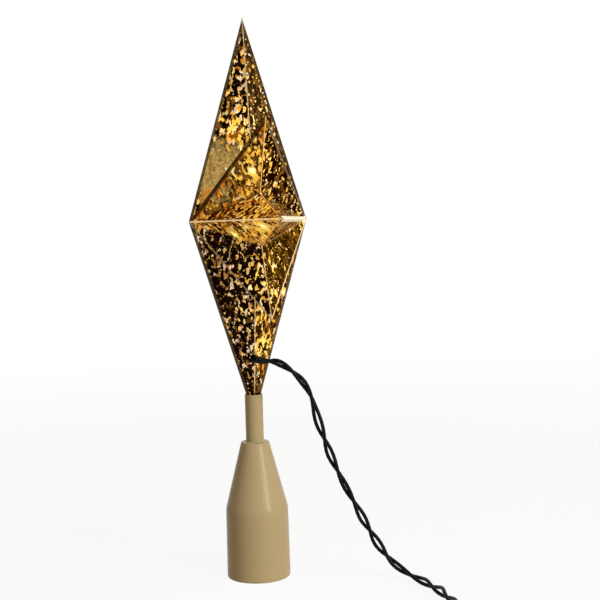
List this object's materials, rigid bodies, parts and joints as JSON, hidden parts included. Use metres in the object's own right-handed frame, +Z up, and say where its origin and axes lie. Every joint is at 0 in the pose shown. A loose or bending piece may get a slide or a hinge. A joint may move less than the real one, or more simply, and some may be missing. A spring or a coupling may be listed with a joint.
{
  "type": "lit tree topper star",
  "caption": "Lit tree topper: a faceted hollow star of two mirrored half shells that turns in the neck of a plain socket base, with small lamps inside and a twisted two-wire lead with a plug.",
  "frame": {"origin": "middle of the base rim, on the surface that the base stands on", "axes": "+Z up the star's upright arms, -Y out of the star's front, +X along its side arm on the lead's side"},
  "size_m": [0.25, 0.1222, 0.28],
  "materials": {
    "base_plastic": "satin moulded tan",
    "mirror_shell": "mirrored with worn gold flecks",
    "carrier_plastic": "natural moulded",
    "socket_plastic": "dark green moulded",
    "bulb_glass": "clear",
    "wire_jacket": "dark green insulation",
    "tie_plastic": "black",
    "plug_plastic": "dark green moulded",
    "blade_brass": "stamped"
  },
  "bodies": {
    "base": {"socket_base": "base_plastic"},
    "star": {"coil_tie": "tie_plastic", "cord_anchor": "plug_plastic", "cord_coil": "wire_jacket", "cord_lead": "wire_jacket", "cord_tail": "wire_jacket", "inner_lead": "wire_jacket", "lamp_bulb_01": "bulb_glass", "lamp_bulb_02": "bulb_glass", "lamp_bulb_03": "bulb_glass", "lamp_bulb_04": "bulb_glass", "lamp_bulb_05": "bulb_glass", "lamp_bulb_06": "bulb_glass", "lamp_bulb_07": "bulb_glass", "lamp_bulb_08": "bulb_glass", "lamp_bulb_09": "bulb_glass", "lamp_bulb_10": "bulb_glass", "lamp_carrier": "carrier_plastic", "lamp_harness": "wire_jacket", "lamp_socket_01": "socket_plastic", "lamp_socket_02": "socket_plastic", "lamp_socket_03": "socket_plastic", "lamp_socket_04": "socket_plastic", "lamp_socket_05": "socket_plastic", "lamp_socket_06": "socket_plastic", "lamp_socket_07": "socket_plastic", "lamp_socket_08": "socket_plastic", "lamp_socket_09": "socket_plastic", "lamp_socket_10": "socket_plastic", "plug_blades": "blade_brass", "plug_body": "plug_plastic", "plug_strain_relief": "plug_plastic", "star_back_shell": "mirror_shell", "star_front_shell": "mirror_shell"}
  },
  "joints": [
    {"name": "star_swivel", "type": "hinge", "parent": "base", "child": "star", "pos_m": [0, 0, 0.0927], "axis": [0, 0, 1], "continuous": true}
  ]
}
